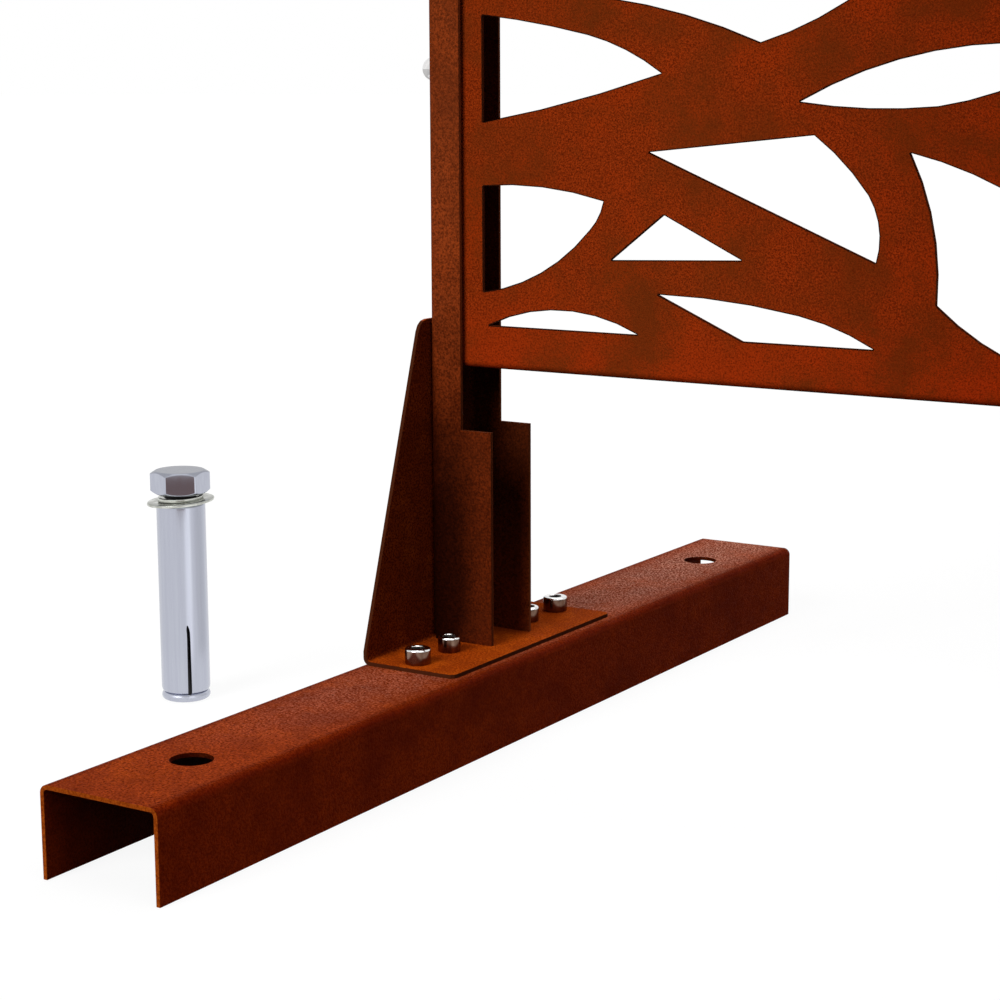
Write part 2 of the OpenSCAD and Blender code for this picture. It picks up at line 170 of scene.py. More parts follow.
def makeLamp(name, values, away):
    lampData = bpy.data.lights.new(name, "SUN")
    lampData.energy = values["strength"]
    lampData.angle = math.radians(values["soft"])
    lamp = bpy.data.objects.new(name, lampData)
    bpy.context.scene.collection.objects.link(lamp)
    lamp.location = Vector(values["from"]) * away
    lamp.visible_glossy = values.get("shine", True)
    lamp.rotation_euler = (-Vector(values["from"])).to_track_quat("-Z", "Y").to_euler()


def whiteRays(tree):
    # 1 for rays from the camera, for rays of shine or through glass, and for either of them
    path = newNode(tree, "ShaderNodeLightPath").outputs
    glossy = math2(tree, "MAXIMUM", path["Is Glossy Ray"], path["Is Transmission Ray"])
    return path["Is Camera Ray"], glossy, math2(tree, "MAXIMUM", path["Is Camera Ray"], glossy)


def makeWorld(values):
    # White where it is seen, and a weak even light on the surfaces
    world = bpy.data.worlds.new("studioSky")
    world.use_nodes = True
    bpy.context.scene.world = world
    tree = world.node_tree
    background = tree.nodes["Background"]
    background.inputs["Color"].default_value = (1, 1, 1, 1)
    byCamera, byShine, byEither = whiteRays(tree)
    link(tree, spread(tree, byEither, 0.0, 1.0, values["skyForSurfaces"]), background.inputs["Strength"])


def makeFloor(values):
    # White paper to the eye, dark to the light that would bounce from it
    half = values["floorSize"] / 2
    mesh = bpy.data.meshes.new("floor")
    corners = [(-half, -half, 0), (half, -half, 0), (half, half, 0), (-half, half, 0)]
    mesh.from_pydata(corners, [], [(0, 1, 2, 3)])
    floor = bpy.data.objects.new("floor", mesh)
    floor.location.z = -values["floorDrop"]
    bpy.context.scene.collection.objects.link(floor)
    material, tree = emptyMaterial("floorPaper")
    out = newNode(tree, "ShaderNodeOutputMaterial")
    paper = newNode(tree, "ShaderNodeBsdfDiffuse")
    glow = newNode(tree, "ShaderNodeEmission", Color=(1, 1, 1, 1), Strength=1)
    mix = newNode(tree, "ShaderNodeMixShader")
    byCamera, byShine, byEither = whiteRays(tree)
    link(tree, mixColour(tree, byCamera, values["floorBounce"], values["floorColour"]), paper.inputs["Color"])
    share = math2(tree, "MULTIPLY", byCamera, values["floorGlow"])
    link(tree, math2(tree, "MAXIMUM", share, byShine), mix.inputs["Fac"])
    link(tree, paper.outputs[0], mix.inputs[1])
    link(tree, glow.outputs[0], mix.inputs[2])
    link(tree, mix.outputs[0], out.inputs["Surface"])
    mesh.materials.append(material)


bpy.context.scene.view_settings.view_transform = "Standard"
makeCamera(camera)
makeWorld(studio)
makeFloor(studio)
for name, values in studio["lamps"].items():
    makeLamp(name, values, studio["lampAway"])
print("studio ready")


def noise(tree, place, size, detail, rough):
    # Noise whose features are about size metres across
    node = newNode(tree, "ShaderNodeTexNoise")
    node.inputs["Detail"].default_value = detail
    node.inputs["Roughness"].default_value = rough
    link(tree, place, node.inputs["Vector"])
    feed(tree, 1 / size if isinstance(size, float) else math2(tree, "DIVIDE", 1.0, size), node.inputs["Scale"])
    return node.outputs["Fac"]


def newGroup(name, inputs, outputs):
    # A shader group with named sockets: each input's usual value is a number, a colour or None for a vector
    kinds = {float: "NodeSocketFloat", tuple: "NodeSocketColor", type(None): "NodeSocketVector"}
    group = bpy.data.node_groups.new(name, "ShaderNodeTree")
    for label, usual in inputs.items():
        socket = group.interface.new_socket(label, in_out="INPUT", socket_type=kinds[type(usual)])
        if usual is not None:
            socket.default_value = usual
    for label, kind in outputs.items():
        group.interface.new_socket(label, in_out="OUTPUT", socket_type="NodeSocket" + kind)
    return group, group.nodes.new("NodeGroupInput").outputs, group.nodes.new("NodeGroupOutput").inputs


def useGroup(tree, group, values):
    node = tree.nodes.new("ShaderNodeGroup")
    node.node_tree = group
    for label, value in values.items():
        node.inputs[label].default_value = (*value, 1) if isinstance(value, tuple) else value
    return node


# Grain: each kind's size as a share of the grain or patch size, its noise, and where it starts and is full
rustNoise = {
    "Speckle": {"of": "Grain Size", "size": 1.0, "detail": 3, "rough": 0.7, "limits": (0.38, 0.62)},
    "Patches": {"of": "Patch Size", "size": 1.0, "detail": 5, "rough": 0.62, "limits": (0.42, 0.62)},
    "Blooms": {"of": "Patch Size", "size": 0.7, "detail": 6, "rough": 0.68, "limits": (0.48, 0.68),
               "apart": (0.37, 0.91, 0.53)},
    "Pits": {"of": "Grain Size", "size": 2.2, "detail": 2, "rough": 0.6, "limits": (0.58, 0.70)},
}
grainHeight = {"Speckle": 0.7, "Pits": 0.6}


def makeRustGrain():
    inputs = {"Place": None, "Grain Size": 0.0011, "Patch Size": 0.03}
    group, get, put = newGroup("rustGrain", inputs, {label: "Float" for label in (*rustNoise, "Height")})
    made = {}
    for label, kind in rustNoise.items():
        place, size = get["Place"], get[kind["of"]]
        if "apart" in kind:
            apart = newNode(group, "ShaderNodeVectorMath", operation="ADD")
            apart.inputs[1].default_value = kind["apart"]
            link(group, place, apart.inputs[0])
            place = apart.outputs[0]
        if kind["size"] != 1.0:
            size = math2(group, "MULTIPLY", size, kind["size"])
        made[label] = ramp(group, noise(group, place, size, kind["detail"], kind["rough"]), kind["limits"])
        link(group, made[label], put[label])
    up, down = (math2(group, "MULTIPLY", made[label], share) for label, share in grainHeight.items())
    link(group, math2(group, "SUBTRACT", up, down), put["Height"])
    return group


# Cut faces: how square to the axis and how upright a face has to be
cutLimits = {"square": (0.45, 0.55), "upright": (0.85, 0.95)}


def makeCutFace():
    # 1 on a sheet's cut faces: square to one axis beyond a distance, and looking sideways within a reach
    inputs = {"Axis Share": 0.0, "Distance": 0.0, "Beyond": -1.0,
              "Side Share": 0.0, "Reach": 0.0, "Side Within": 0.0}
    group, get, put = newGroup("cutFace", inputs, {"Cut": "Float"})
    along = ramp(group, get["Axis Share"], cutLimits["square"])
    along = product(group, along, math2(group, "GREATER_THAN", get["Distance"], get["Beyond"]))
    sideways = ramp(group, get["Side Share"], cutLimits["upright"])
    sideways = product(group, sideways, math2(group, "LESS_THAN", get["Reach"], get["Side Within"]))
    link(group, math2(group, "MAXIMUM", along, sideways), put["Cut"])
    return group


# Coat: strength of pits on flat and upright faces, the speckle on which blooms show, cover of a cut face
coatMix = {"pits": (0.6, 0.2), "bloomFrom": (0.0, 0.7), "cut": 0.94}


def makeRustCoat():
    # Lays the rust's colours over one another, with a calmer or livelier grain on upright faces; the side tint
    # darkens faces that look along x as painted shade
    inputs = {"Speckle": 0.5, "Patches": 0.0, "Blooms": 0.0, "Pits": 0.0, "Side": 0.0, "Cut": 0.0,
              "Side Grain": 1.0, "Patch Share": 0.5, "Bloom Share": 0.5, "Edge Wear": 0.3}
    for label in ("Dark", "Light", "Brown", "Bloom", "Edge", "Side Shade Tint"):
        inputs[label] = (0.2, 0.1, 0.05, 1)
    group, get, put = newGroup("rustCoat", inputs, {"Base Color": "Color", "Grain": "Float"})
    ratio = spread(group, get["Side"], 0.0, 1.0, 1.0, get["Side Grain"])
    centred = math2(group, "SUBTRACT", get["Speckle"], 0.5)
    speckle = math2(group, "ADD", product(group, centred, ratio), 0.5)
    base = mixColour(group, speckle, get["Dark"], get["Light"])
    base = mixColour(group, product(group, get["Patches"], get["Patch Share"]), base, get["Brown"])
    blooms = product(group, get["Blooms"], ramp(group, speckle, coatMix["bloomFrom"]), get["Bloom Share"])
    base = mixColour(group, blooms, base, get["Bloom"])
    pits = product(group, get["Pits"], spread(group, get["Side"], 0.0, 1.0, *coatMix["pits"]))
    base = mixColour(group, pits, base, get["Dark"])
    # Painted shade: faces that look along x are multiplied by the side tint
    base = mixColour(group, get["Side"], base, get["Side Shade Tint"], "MULTIPLY")
    worn = product(group, math2(group, "SUBTRACT", 1.0, get["Speckle"]), get["Edge Wear"])
    edge = mixColour(group, worn, get["Edge"], get["Brown"])
    base = mixColour(group, product(group, get["Cut"], coatMix["cut"]), base, edge)
    link(group, base, put["Base Color"])
    link(group, speckle, put["Grain"])
    return group


rustGrain = makeRustGrain()
cutFace = makeCutFace()
rustCoat = makeRustCoat()

screenMiddle = 0.07005  # x of the screen's middle, from which reaches are measured

# Weathered steel: colours are linear, sizes and places are in metres, and facing shares run from 0 to 1
# The side tint in each finish's colours is painted shade on faces that look along x
rustFinishes = {
    "panelRust": {
        "nodes": ["panel"],
        "colours": {"Dark": (0.110, 0.0105, 0.0010), "Light": (0.325, 0.0375, 0.0040),
                    "Bloom": (0.345, 0.0310, 0.0020), "Brown": (0.125, 0.0225, 0.0030),
                    # The dark Edge colour on the cut faces is partly their own colour and partly painted shade
                    "Edge": (0.035, 0.0070, 0.0020), "Side Shade Tint": (0.75, 0.75, 0.75)},
        "shares": {"Side Grain": 1.0, "Patch Share": 0.78, "Bloom Share": 0.62, "Edge Wear": 0.3},
        "grain": {"Grain Size": 0.0009, "Patch Size": 0.050}, "turn": (0.0, 0.0, 0.0),
        "shine": 0.005, "rough": 0.72, "bump": 0.00008,
        "cut": {"axis": "Y", "across": True, "beyond": -1.0, "sideWithin": 0.0},
        "side": (0.35, 0.85),
        "fold": {"reach": (0.380, 0.396), "height": (0.226, 0.192), "share": 0.62, "patchShare": 0.1,
                 "speckle": (0.0, 0.6, 0.35, 1.0), "colour": (0.340, 0.0270, 0.0022)},
        "middle": {"reach": (0.27, 0.08), "tint": (0.89, 0.72, 0.62)},
    },
    "postRust": {
        "nodes": ["left_post", "right_post"],
        "colours": {"Dark": (0.105, 0.0165, 0.0030), "Light": (0.305, 0.0490, 0.0085),
                    "Bloom": (0.330, 0.0450, 0.0040), "Brown": (0.105, 0.0200, 0.0050),
                    "Edge": (0.180, 0.0420, 0.0120), "Side Shade Tint": (1.0, 1.0, 1.0)},
        "shares": {"Side Grain": 1.0, "Patch Share": 0.45, "Bloom Share": 0.25, "Edge Wear": 0.4},
        "grain": {"Grain Size": 0.0010, "Patch Size": 0.040}, "turn": (3.1, 1.7, 0.4),
        "shine": 0.01, "rough": 0.66, "bump": 0.00010,
        "cut": {"axis": "Z", "across": False, "beyond": -1.0, "sideWithin": 0.390},
        "side": (0.35, 0.85),
        # Painted shade, darker low on the post's front
        "paintedShade": {"height": (0.262, 0.100), "front": (-0.0104, -0.0112), "tint": (1.0, 0.86, 0.80),
                  "reach": (0.369, 0.389), "kept": (0.41, 0.10),
                  "ragged": {"size": 0.018, "limits": (0.3, 0.7), "swing": 0.018, "reachSwing": 0.003}},
        # Painted shade inside the post's channel
        "channel": {"front": (-0.0108, -0.0100), "back": (0.0256, 0.0248), "step": (0.05, 0.135),
                    "kept": (0.66, 0.27)},
    },
    "bracketRust": {
        "nodes": ["left_bracket", "right_bracket"],
        "colours": {"Dark": (0.135, 0.0155, 0.0010), "Light": (0.400, 0.0600, 0.0032),
                    "Bloom": (0.560, 0.1020, 0.0040), "Brown": (0.150, 0.0220, 0.0022),
                    # The dark Edge colour on the cut faces is partly their own colour and partly painted shade
                    "Edge": (0.030, 0.0105, 0.0050), "Side Shade Tint": (0.40, 0.36, 0.60)},
        "shares": {"Side Grain": 3.2, "Patch Share": 0.35, "Bloom Share": 0.60, "Edge Wear": 0.2},
        "grain": {"Grain Size": 0.0010, "Patch Size": 0.026}, "turn": (7.3, 2.9, 5.4),
        "shine": 0.005, "rough": 0.70, "bump": 0.00009,
        "cut": {"axis": "Y", "across": False, "beyond": -1.0, "sideWithin": 0.351},
        "side": (0.35, 0.85),
    },
    "footRust": {
        "nodes": ["left_foot", "right_foot"],
        "colours": {"Dark": (0.092, 0.0085, 0.0008), "Light": (0.362, 0.0495, 0.0054),
                    "Bloom": (0.420, 0.0650, 0.0030), "Brown": (0.125, 0.0130, 0.0012),
                    "Edge": (0.370, 0.0720, 0.0060), "Side Shade Tint": (0.80, 0.56, 0.42)},
        "shares": {"Side Grain": 0.55, "Patch Share": 0.60, "Bloom Share": 0.42, "Edge Wear": 0.7},
        "grain": {"Grain Size": 0.0011, "Patch Size": 0.040}, "turn": (11.9, 4.3, 8.8),
        "shine": 0.006, "rough": 0.60, "bump": 0.00016,
        "cut": {"axis": "Y", "across": False, "beyond": 0.2995, "sideWithin": 0.0},
        "side": (0.10, 0.75),
        "middleLine": 0.3747,
        # Painted sheen: pale colour where the foot's top is seen at a low angle
        "paintedSheen": {"colour": (0.660, 0.365, 0.268), "share": 0.66, "sideShare": 0.10, "facing": (0.712, 0.790),
                 "off": (0.027, 0.012), "edgeShare": 0.40, "bare": 0.55, "speckle": (0.46, 0.86)},
        # Painted shade on the foot's top bends beside its sides
        "shoulderShade": {"off": (0.0250, 0.0280), "up": (0.10, 0.45), "tint": (0.66, 0.56, 0.48)},
        # Painted shade inside the foot, darker further in and on its underside
        "inside": {"off": (0.0312, 0.0304), "up": (0.5, 0.2), "end": 0.300, "deep": (0.0, 0.080, 0.08, 1.0),
                   "under": (-0.3, -0.8, 0.0, 0.8), "kept": 0.07},
    },
}
roughSwing = 0.08  # how far the speckle moves the roughness either way


def addFold(tree, base, masks, values):
    # Livelier colour towards the panel's folded edges
    side, bottom = ramp(tree, masks["reach"], values["reach"]), ramp(tree, masks["z"], values["height"])
    patches = spread(tree, masks["patches"], 0.0, 1.0, values["share"], values["patchShare"])
    near = product(tree, math2(tree, "MAXIMUM", side, bottom), patches,
                   spread(tree, masks["speckle"], *values["speckle"]), masks["uncut"])
    return mixColour(tree, near, base, values["colour"])


def addPaintedSheen(tree, base, masks, values):
    # Painted sheen: the rust's colour is mixed towards a pale tint where a face is seen at a low angle
    slant = newNode(tree, "ShaderNodeLayerWeight", Blend=0.5)
    amount = spread(tree, masks["side"], 0.0, 1.0, values["share"], values["share"] * values["sideShare"])
    pale = product(tree, ramp(tree, slant.outputs["Facing"], values["facing"]), amount,
                   spread(tree, masks["off"], *values["off"], values["edgeShare"], smooth=True),
                   spread(tree, masks["blooms"], 0.0, 1.0, 1.0, values["bare"]),
                   ramp(tree, masks["speckle"], values["speckle"]))
    return mixColour(tree, pale, base, values["colour"])


def addPaintedShade(tree, base, masks, values):
    # Painted shade low on a post's front, with a ragged upper edge: the colour, and the share of it that is
    # kept
    part = values["ragged"]
    ragged = noise(tree, masks["place"], part["size"], 4, 0.6)
    swing, reachSwing = (spread(tree, ragged, *part["limits"], -most, most)
                         for most in (part["swing"], part["reachSwing"]))
    height = math2(tree, "ADD", masks["z"], swing)
    reach = math2(tree, "ADD", masks["reach"], reachSwing)
    mask = product(tree, ramp(tree, height, values["height"], True), ramp(tree, masks["y"], values["front"]))
    kept = spread(tree, reach, *values["reach"], *values["kept"], smooth=True)
    share = spread(tree, mask, 0.0, 1.0, 1.0, kept)
    return mixColour(tree, mask, base, values["tint"], "MULTIPLY"), share


def addChannelShade(tree, share, masks, values):
    # Painted shade inside a post's channel: less of the colour is kept there, and least from the step up
    within = product(tree, ramp(tree, masks["y"], values["front"]), ramp(tree, masks["y"], values["back"]))
    inside = spread(tree, masks["z"], *values["step"], *values["kept"])
    return product(tree, share, spread(tree, within, 0.0, 1.0, 1.0, inside))


def addInsideShade(tree, masks, values):
    # Painted shade inside a foot: the share of colour kept there, less further in and on the underside
    depth = math2(tree, "SUBTRACT", values["end"], absolute(tree, masks["y"]))
    deep, under = spread(tree, depth, *values["deep"]), spread(tree, masks["up"], *values["under"])
    hidden = product(tree, ramp(tree, masks["off"], values["off"]), ramp(tree, masks["up"], values["up"]),
                     math2(tree, "MAXIMUM", deep, under), masks["uncut"])
    return spread(tree, hidden, 0.0, 1.0, 1.0, values["kept"])


def makeRust(name, values):
    material, tree, shader = shaderMaterial(name)
    place = newNode(tree, "ShaderNodeTexCoord").outputs
    shift = newNode(tree, "ShaderNodeVectorMath", operation="ADD")
    shift.inputs[1].default_value = values["turn"]
    link(tree, place["Object"], shift.inputs[0])
    grain = useGroup(tree, rustGrain, values["grain"])
    link(tree, shift.outputs[0], grain.inputs["Place"])
    axes = newNode(tree, "ShaderNodeSeparateXYZ")
    link(tree, place["Object"], axes.inputs[0])
    facing = newNode(tree, "ShaderNodeSeparateXYZ")
    link(tree, place["Normal"], facing.inputs[0])
    sides = {axis: absolute(tree, facing.outputs[axis]) for axis in "XYZ"}
    reach = absolute(tree, math2(tree, "SUBTRACT", axes.outputs["X"], screenMiddle))

    rule = values["cut"]
    cut = useGroup(tree, cutFace, {"Beyond": rule["beyond"], "Side Within": rule["sideWithin"]})
    square = sides[rule["axis"]]
    feed(tree, math2(tree, "SUBTRACT", 1.0, square) if rule["across"] else square, cut.inputs["Axis Share"])
    link(tree, absolute(tree, axes.outputs[rule["axis"]]), cut.inputs["Distance"])
    link(tree, sides["X"], cut.inputs["Side Share"])
    link(tree, reach, cut.inputs["Reach"])

    # Faces that look along x, which the coat darkens with the side tint as painted shade
    side = ramp(tree, sides["X"], values["side"])
    coat = useGroup(tree, rustCoat, {**values["shares"], **values["colours"]})
    for label in rustNoise:
        link(tree, grain.outputs[label], coat.inputs[label])
    link(tree, side, coat.inputs["Side"])
    link(tree, cut.outputs["Cut"], coat.inputs["Cut"])
    base, share = coat.outputs["Base Color"], None

    masks = {"place": place["Object"], "y": axes.outputs["Y"], "z": axes.outputs["Z"],
             "up": facing.outputs["Z"], "reach": reach, "side": side,
             "speckle": coat.outputs["Grain"], "patches": grain.outputs["Patches"],
             "blooms": grain.outputs["Blooms"], "uncut": math2(tree, "SUBTRACT", 1.0, cut.outputs["Cut"])}
    if "middleLine" in values:
        masks["off"] = absolute(tree, math2(tree, "SUBTRACT", reach, values["middleLine"]))
    if "fold" in values:
        base = addFold(tree, base, masks, values["fold"])
    if "middle" in values:
        part = values["middle"]
        base = mixColour(tree, ramp(tree, reach, part["reach"], True), base, part["tint"], "MULTIPLY")
    # Painted sheen on the foot's top
    if "paintedSheen" in values:
        base = addPaintedSheen(tree, base, masks, values["paintedSheen"])
    # Painted shade on the foot's top bends
    if "shoulderShade" in values:
        part = values["shoulderShade"]
        bendShade = product(tree, ramp(tree, masks["off"], part["off"], True), ramp(tree, masks["up"], part["up"]))
        base = mixColour(tree, bendShade, base, part["tint"], "MULTIPLY")
    # Painted shade low on the post's front and inside its channel
    if "paintedShade" in values:
        base, share = addPaintedShade(tree, base, masks, values["paintedShade"])
        share = addChannelShade(tree, share, masks, values["channel"])
    # Painted shade inside the foot
    if "inside" in values:
        share = addInsideShade(tree, masks, values["inside"])
    # The painted shade scales the colour down by the share that is kept
    if share is not None:
        dim = newNode(tree, "ShaderNodeVectorMath", operation="SCALE")
        link(tree, base, dim.inputs[0])
        link(tree, share, dim.inputs["Scale"])
        base = dim.outputs[0]

    link(tree, base, shader.inputs["Base Color"])
    most, least = values["rough"] + roughSwing, values["rough"] - roughSwing
    link(tree, spread(tree, grain.outputs["Speckle"], 0.0, 1.0, most, least), shader.inputs["Roughness"])
    shader.inputs["Specular IOR Level"].default_value = values["shine"]
    bump = newNode(tree, "ShaderNodeBump", Strength=1.0, Distance=values["bump"])
    link(tree, grain.outputs["Height"], bump.inputs["Height"])
    link(tree, bump.outputs[0], shader.inputs["Normal"])
    return material


for name, values in rustFinishes.items():
    material = makeRust(name, values)
    for node in values["nodes"]:
        dress(nodes[node], material)
print("rusted sheet dressed")

# Bright fasteners and the anchor's zinc plate: a cloud is the size of the dull patches in metres, and a
# stretch draws them out upwards
metalFinishes = {
    "brightScrew": {
        "nodes": ["large_base_screws", "small_base_screws", "large_base_nuts", "small_base_nuts",
                  "bracket_bolts", "bracket_cap_nuts", "panel_bolts", "panel_cap_nuts"],
        "colour": (0.88, 0.87, 0.86), "dull": (0.66, 0.65, 0.65), "rough": 0.09, "cloud": 0.004,
    },
    # Painted reflection: the screws' sides are tinted brown, as the rusty plate shows in them
    "screwSideReflection": {
        "colour": (0.24, 0.150, 0.112), "dull": (0.10, 0.045, 0.026), "rough": 0.13, "cloud": 0.0034,
        "stretch": 9,
    },
    "zincPlate": {
        "nodes": ["anchor_bolt", "anchor_sleeve", "anchor_cone"],
        "colour": (0.505, 0.525, 0.605), "dull": (0.475, 0.492, 0.575), "rough": 0.20, "cloud": 0.0022,
        "stretch": 30,
    },
    "headZinc": {
        "colour": (0.500, 0.520, 0.600), "dull": (0.470, 0.487, 0.570), "rough": 0.105, "cloud": 0.0030,
        "stretch": 4,
    },
    "washerZinc": {
        "nodes": ["anchor_spring_washer", "anchor_flat_washer"],
        "colour": (0.66, 0.67, 0.63), "dull": (0.46, 0.47, 0.42), "rough": 0.20, "cloud": 0.005,
    },
    # Painted shade in the screws' hex sockets
    "socketShade": {
        "colour": (0.055, 0.045, 0.040), "dull": (0.0385, 0.0315, 0.0280), "rough": 0.35, "cloud": 0.003,
        "detail": 3, "roughShares": (0.85, 1.15), "metal": 0.8,
    },
    # Painted shade, near black: the sleeve's inside and slits, the cone within it, and the bolt's shank and
    # the underside of its head
    "hollowShade": {
        "colour": (0.010, 0.009, 0.012), "dull": (0.0070, 0.0063, 0.0084), "rough": 0.6, "cloud": 0.003,
        "detail": 3, "roughShares": (0.85, 1.15), "metal": 0.0,
    },
}
cloudLimits = (0.35, 0.65)


def makeMetal(name, values):
    material, tree, shader = shaderMaterial(name)
    shader.inputs["Metallic"].default_value = values.get("metal", 1.0)
    place = newNode(tree, "ShaderNodeTexCoord").outputs["Object"]
    if "stretch" in values:
        squeeze = newNode(tree, "ShaderNodeVectorMath", operation="DIVIDE")
        squeeze.inputs[1].default_value = (1, 1, values["stretch"])
        link(tree, place, squeeze.inputs[0])
        place = squeeze.outputs[0]
    cloud = ramp(tree, noise(tree, place, values["cloud"], values.get("detail", 4), 0.6), cloudLimits)
    link(tree, mixColour(tree, cloud, values["colour"], values["dull"]), shader.inputs["Base Color"])
    least, most = (values["rough"] * share for share in values.get("roughShares", (0.9, 1.2)))
    link(tree, spread(tree, cloud, 0, 1, least, most), shader.inputs["Roughness"])
    return material


finishes = {}
for name, values in metalFinishes.items():
    finishes[name] = makeMetal(name, values)
    for node in values.get("nodes", []):
        dress(nodes[node], finishes[name])
print("bright metal dressed")


def finishMesh(form, name, materials, sharp=30, bevel=0.0):
    # Turns a bmesh in millimetres into an object in metres; sharp is in degrees, the bevel in millimetres
    bmesh.ops.remove_doubles(form, verts=form.verts, dist=0.0005)
    bmesh.ops.recalc_face_normals(form, faces=form.faces)
    bmesh.ops.scale(form, vec=(0.001, 0.001, 0.001), verts=form.verts)
    mesh = bpy.data.meshes.new(name)
    form.to_mesh(mesh)
    form.free()
    for material in materials:
        mesh.materials.append(material)
    for face in mesh.polygons:
        face.use_smooth = True
    mesh.set_sharp_from_angle(angle=math.radians(sharp))
    thing = bpy.data.objects.new(name, mesh)
    bpy.context.scene.collection.objects.link(thing)
    if bevel:
        soften = thing.modifiers.new("soften", "BEVEL")
        soften.width = bevel / 1000
        soften.segments = 2
        soften.limit_method = "ANGLE"
        soften.angle_limit = math.radians(sharp)
        soften.harden_normals = True
    return thing


def addRings(form, rings, place=(0, 0, 0), count=96, closed=False, lean=(0, 0)):
    # Joins rings round an upright axis; a ring is (radius, height), or a function of the angle that gives them
    loops = []
    for ring in rings:
        loop = []
        for i in range(count):
            angle = 2 * math.pi * i / count
            radius, height = ring(angle) if callable(ring) else ring
            x, y = radius * math.cos(angle), radius * math.sin(angle)
            height += lean[0] * x + lean[1] * y
            loop.append(form.verts.new((place[0] + x, place[1] + y, place[2] + height)))
        loops.append(loop)
    faces = []
    for lower, upper in zip(loops, loops[1:] + loops[:1] if closed else loops[1:]):
        for i in range(count):
            j = (i + 1) % count
            faces.append(form.faces.new((lower[i], lower[j], upper[j], upper[i])))
    if not closed:
        faces.append(form.faces.new(loops[0][::-1]))
        faces.append(form.faces.new(loops[-1]))
    return faces


def hexRadius(angle, flats, turn):
    # Distance from a hexagon's middle to its outline, with a side square to the turn
    part = (angle - turn + math.pi / 6) % (math.pi / 3) - math.pi / 6
    return flats / 2 / math.cos(part)


def leanOf(degrees, azimuth):
    # Slope that lowers the side at the azimuth
    slope = -math.tan(math.radians(degrees))
    return slope * math.cos(math.radians(azimuth)), slope * math.sin(math.radians(azimuth))


def rideAs(thing, node, body):
    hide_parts(node)
    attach(thing, body)


# Socket head screws, in millimetres: lines are the x and rows the y of their axes. A groove's points are how
# deep and how far along it they are. The socket's mouth and point are shares of its width and how far down.
socketScrews = {
    "thread": 8, "height": 8, "plateTop": 44, "lines": (-308.65, 448.75), "count": 72,
    "grip": 4, "nut": 6.4, "end": 3, "pitch": 1.25, "chamfer": 0.9, "tipHole": 0.6,
    "groove": ((0, 0), (0.5, 0.35), (0.5, 0.6), (0, 0.95)),
    "rim": 0.95, "rimTurns": (90, 68, 45, 22, 0), "foot": 0.35,
    "socket": 6, "depth": 4.2, "mouth": ((0.62, 0), (0.585, 0.25)), "mouthDepth": 0.55,
    "point": ((0.40, 0.1), (0.05, 1.1)), "pointRoom": 2, "sideFrom": 0.2,
    "sets": {
        "largeScrews": {"node": "large_base_screws", "head": 13, "rows": (-60, 74), "turns": (8, 27, 51, 15)},
        "smallScrews": {"node": "small_base_screws", "head": 11.6, "rows": (-31.5, 45.5),
                        "turns": (40, 3, 22, 55)},
    },
}


def screwRings(values, head, turn):
    # A screw's outline from the tip over the head into the socket; head is its radius, its underside is at 0
    top, rim, width = values["height"], values["rim"], values["socket"]
    shank, floor = values["thread"] / 2, top - values["depth"]
    tip, chamfer = -(values["grip"] + values["nut"] + values["end"]), values["chamfer"]

    def hexRing(height):
        return lambda angle: (hexRadius(angle, width, turn), height)

    rings = [(values["tipHole"], tip), (shank - chamfer, tip), (shank, tip + chamfer)]
    z = tip + chamfer
    while z < -values["grip"] - 1:
        rings += [(shank - deep, z + along) for deep, along in values["groove"]]
        z += values["pitch"]
    rings += [(shank, -values["grip"]), (shank, 0), (head - values["foot"], 0), (head, values["foot"])]
    rings += [(head - rim * (1 - math.sin(a)), top - rim * (1 - math.cos(a)))
              for a in map(math.radians, values["rimTurns"])]
    rings += [(width * share, top - down) for share, down in values["mouth"]]
    rings += [hexRing(top - values["mouthDepth"]), hexRing(floor)]
    return rings + [(width * share, floor - down) for share, down in values["point"]]


def makeSocketScrews(values, materials):
    for name, group in values["sets"].items():
        form = bmesh.new()
        head, base = group["head"] / 2, values["plateTop"]
        inside = values["socket"] * values["mouth"][-1][0]
        floor = values["height"] - values["depth"]
        spots = [(x, y) for x in values["lines"] for y in group["rows"]]
        for (x, y), turn in zip(spots, group["turns"]):
            rings = screwRings(values, head, math.radians(turn))
            for face in addRings(form, rings, (x, y, base), values["count"]):
                middle = face.calc_center_median()
                away, up = math.hypot(middle.x - x, middle.y - y), middle.z - base
                # The socket takes the painted shade, and the sides below the rim the painted reflection
                if away < inside and up > floor - values["pointRoom"]:
                    face.material_index = 1
                elif away > head - values["sideFrom"] and 0 < up < values["height"] - values["rim"]:
                    face.material_index = 2
        screws = finishMesh(form, name, materials, sharp=32)
        rideAs(screws, group["node"], "screen")


# A dark line along the panel's cuts, in millimetres: a strip on each of the sheet's planes, given by its y and
# the way it looks
darkCutLine = {
    "node": "panel", "planes": ((-8.0, -1), (-6.0, 1)), "near": 0.01, "width": 0.55, "proud": 0.03,
    "dark": (0.016, 0.0030, 0.0008), "worn": (0.060, 0.0120, 0.0020),
    "grain": {"Grain Size": 0.0016, "Patch Size": 0.02}, "rough": 0.7, "shine": 0.02,
}


